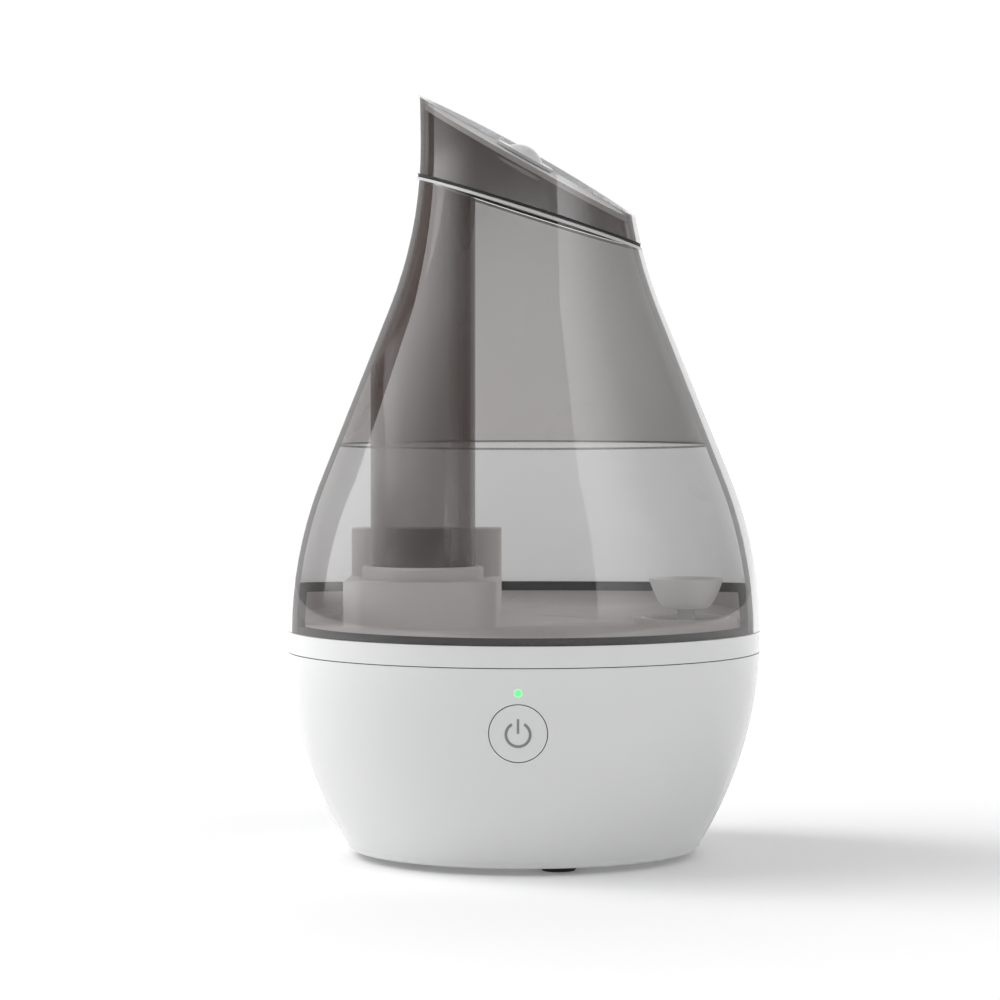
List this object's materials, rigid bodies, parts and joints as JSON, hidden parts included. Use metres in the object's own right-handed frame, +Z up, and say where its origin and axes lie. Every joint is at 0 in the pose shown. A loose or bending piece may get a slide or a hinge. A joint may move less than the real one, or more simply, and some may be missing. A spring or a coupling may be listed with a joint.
{
  "type": "cool mist humidifier",
  "caption": "Ultrasonic cool mist humidifier: a teardrop tank with a smoked clear front lifts off a round white base with a power button; slanted lid with mist nozzle.",
  "frame": {"origin": "centre of the box's underside, on the surface that it stands on", "axes": "+Z up, front (power button) towards -Y, the lid's high tip towards -X"},
  "size_m": [0.211, 0.211, 0.3393],
  "materials": {
    "white_shell": "satin gloss moulded plastic",
    "white_moulding": "satin moulded plastic",
    "smoked_clear": "clear smoked plastic, polished",
    "dark_smoked": "dark smoked plastic",
    "black_rubber": "matte",
    "silicone": "translucent silicone",
    "black_plastic": "matte",
    "board": "solder mask",
    "steel": "zinc plated",
    "aluminium": "extruded",
    "transducer": "plated disc",
    "green_lamp": "clear green, lit",
    "lead_black": "vinyl",
    "lead_grey": "vinyl",
    "lead_red": "vinyl"
  },
  "bodies": {
    "base": {"base_body": "white_shell", "basin": "white_moulding", "bottom_cover": "white_moulding", "rubber_feet": "black_rubber", "bottom_screws": "steel", "dc_jack": "black_plastic", "driver_board": "board", "board_screws": "steel", "heat_sink": "aluminium", "fan_frame": "black_plastic", "fan_screws": "steel", "air_duct": "white_moulding", "transducer_disc": "transducer", "transducer_seal": "silicone", "transducer_holder": "aluminium", "transducer_screws": "steel", "control_board": "board", "tact_switch": "black_plastic", "status_led": "green_lamp", "light_pipe": "green_lamp", "button_guide": "white_moulding", "float_clip": "white_moulding", "level_sensor": "black_plastic", "jack_lead": "lead_black", "panel_lead": "lead_grey", "transducer_lead": "lead_red", "fan_lead": "lead_black"},
    "fan": {"fan_rotor": "black_plastic"},
    "button": {"power_button": "white_shell"},
    "float": {"level_float": "white_moulding", "float_magnet": "steel"},
    "tank": {"tank_floor": "white_moulding", "tank_window": "smoked_clear", "tank_back": "white_shell", "tank_rim": "white_shell", "shell_seal": "black_rubber", "chimney": "smoked_clear", "chimney_collar": "white_moulding", "mist_baffle": "dark_smoked", "valve_cap": "white_moulding", "valve_cap_seal": "silicone", "valve_spring": "steel"},
    "valve": {"valve_plunger": "white_moulding", "valve_cup": "silicone"},
    "lid": {"lid_front": "smoked_clear", "lid_back": "white_shell", "lid_seal": "black_rubber", "lid_duct": "smoked_clear"},
    "nozzle": {"mist_nozzle": "white_shell"}
  },
  "joints": [
    {"name": "tank_lift", "type": "slide", "parent": "base", "child": "tank", "axis": [0, 0, 1], "range_m": [0, 0.06]},
    {"name": "lid_lift", "type": "slide", "parent": "tank", "child": "lid", "axis": [0, 0, 1], "range_m": [0, 0.06]},
    {"name": "nozzle_turn", "type": "hinge", "parent": "lid", "child": "nozzle", "pos_m": [0, 0, 0.3106], "axis": [0.4874, -0.0698, 0.8704], "continuous": true},
    {"name": "valve_slide", "type": "slide", "parent": "tank", "child": "valve", "axis": [0, 0, 1], "range_m": [-0.008, 0], "deforming": ["valve_spring"]},
    {"name": "fan_spin", "type": "hinge", "parent": "base", "child": "fan", "pos_m": [-0.029, 0.019, 0.01], "axis": [0, 0, 1], "continuous": true},
    {"name": "button_press", "type": "slide", "parent": "base", "child": "button", "axis": [0, 1, 0], "range_m": [0, 0.0012], "stiffness_N_per_m": 900},
    {"name": "float_rise", "type": "slide", "parent": "base", "child": "float", "axis": [0, 0, 1], "range_m": [0, 0.006]}
  ],
  "couplings": [
    {"joint": "valve_slide", "follows": "tank_lift", "ratio": -0.13333}
  ]
}
